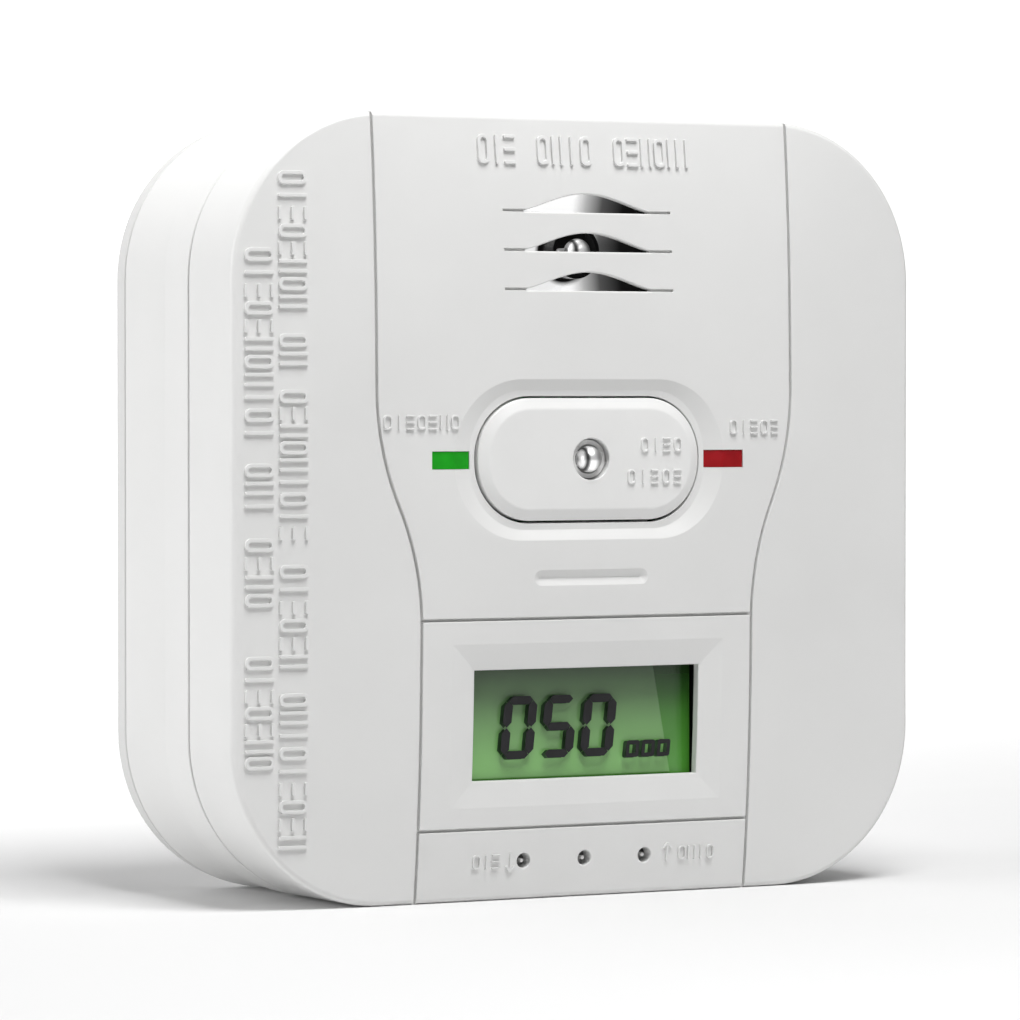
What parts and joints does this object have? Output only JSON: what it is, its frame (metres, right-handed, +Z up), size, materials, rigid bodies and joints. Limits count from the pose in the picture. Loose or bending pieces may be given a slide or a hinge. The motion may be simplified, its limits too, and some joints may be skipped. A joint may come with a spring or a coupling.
{
  "type": "carbon monoxide detector",
  "caption": "Square wall-mounted carbon monoxide alarm with a domed face, sound slots, test button, indicator windows and a display, on a slide-off wall plate.",
  "frame": {"origin": "centre of the underside of the whole object, which stands upright", "axes": "+Z up, the face looks along -Y, the wall side is +Y, +X is to the right seen from the front"},
  "size_m": [0.105, 0.0395, 0.105],
  "materials": {
    "cover_plastic": "satin white ABS, fine moulded texture",
    "housing_plastic": "satin white ABS",
    "plate_plastic": "satin white ABS",
    "button_plastic": "satin white ABS",
    "green_lens": "coloured acrylic",
    "red_lens": "coloured acrylic",
    "lamp_ball": "bright",
    "lamp_cup": "glossy white",
    "led_package": "moulded epoxy",
    "display_glass": "polished glass, reflective-green display",
    "display_light": "diffusing acrylic",
    "holder_plastic": "black ABS",
    "contact_rubber": "layered silicone",
    "horn_chrome": "plated",
    "piezo_brass": "rolled",
    "sounder_plastic": "black ABS",
    "board_laminate": "green solder mask",
    "chip_plastic": "moulded epoxy",
    "capacitor_can": "sleeved can",
    "resistor_ceramic": "glazed",
    "ferrite": "sintered",
    "copper_wire": "enamelled copper",
    "switch_plastic": "moulded nylon",
    "switch_steel": "tinned",
    "slider_plastic": "moulded acetal",
    "sensor_steel": "pressed",
    "sensor_cap_plastic": "moulded",
    "seal_rubber": "moulded",
    "gauze_steel": "woven",
    "cell_jacket": "printed jacket",
    "contact_steel": "nickel plated",
    "screw_steel": "zinc plated"
  },
  "bodies": {
    "case": {"front_cover": "cover_plastic", "rear_housing": "housing_plastic", "power_window": "green_lens", "alarm_window": "red_lens", "power_led": "led_package", "alarm_led": "led_package", "status_lamp": "lamp_ball", "status_lamp_cup": "lamp_cup", "lcd_holder": "holder_plastic", "lcd_glass": "display_glass", "lcd_backlight": "display_light", "lcd_contact_strips": "contact_rubber", "horn_bowl": "horn_chrome", "horn_throat_ring": "horn_chrome", "horn_ball": "horn_chrome", "piezo_disc": "piezo_brass", "sounder_base": "sounder_plastic", "circuit_board": "board_laminate", "microcontroller": "chip_plastic", "amplifier_chip": "chip_plastic", "capacitors": "capacitor_can", "chip_resistors": "resistor_ceramic", "boost_coil_core": "ferrite", "boost_coil_winding": "copper_wire", "tact_switch_body": "switch_plastic", "power_switch_body": "switch_steel", "co_sensor_can": "sensor_steel", "co_sensor_seal": "seal_rubber", "co_sensor_cap": "sensor_cap_plastic", "inlet_gauze": "gauze_steel", "battery_cell_top": "cell_jacket", "battery_cell_middle": "cell_jacket", "battery_cell_bottom": "cell_jacket", "battery_plus_plates": "contact_steel", "battery_minus_springs": "contact_steel", "case_screws": "screw_steel", "board_screws": "screw_steel"},
    "wall_plate": {"wall_plate": "plate_plastic"},
    "button": {"test_button": "button_plastic"},
    "switch_plunger": {"tact_switch_plunger": "switch_plastic"},
    "switch_slider": {"power_switch_slider": "slider_plastic"}
  },
  "joints": [
    {"name": "case_slide", "type": "slide", "parent": "wall_plate", "child": "case", "axis": [0, 0, 1], "range_m": [0, 0.006]},
    {"name": "button_press", "type": "slide", "parent": "case", "child": "button", "axis": [0, 1, 0], "range_m": [0, 0.0008], "stiffness_N_per_m": 2500, "springref_m": -0.0004},
    {"name": "plunger_press", "type": "slide", "parent": "case", "child": "switch_plunger", "axis": [0, 1, 0], "range_m": [0, 0.00025]},
    {"name": "power_slide", "type": "slide", "parent": "case", "child": "switch_slider", "axis": [0, 0, -1], "range_m": [0, 0.006]}
  ],
  "couplings": [
    {"joint": "plunger_press", "follows": "button_press", "ratio": 0.3125},
    {"joint": "power_slide", "follows": "case_slide", "ratio": 1}
  ]
}
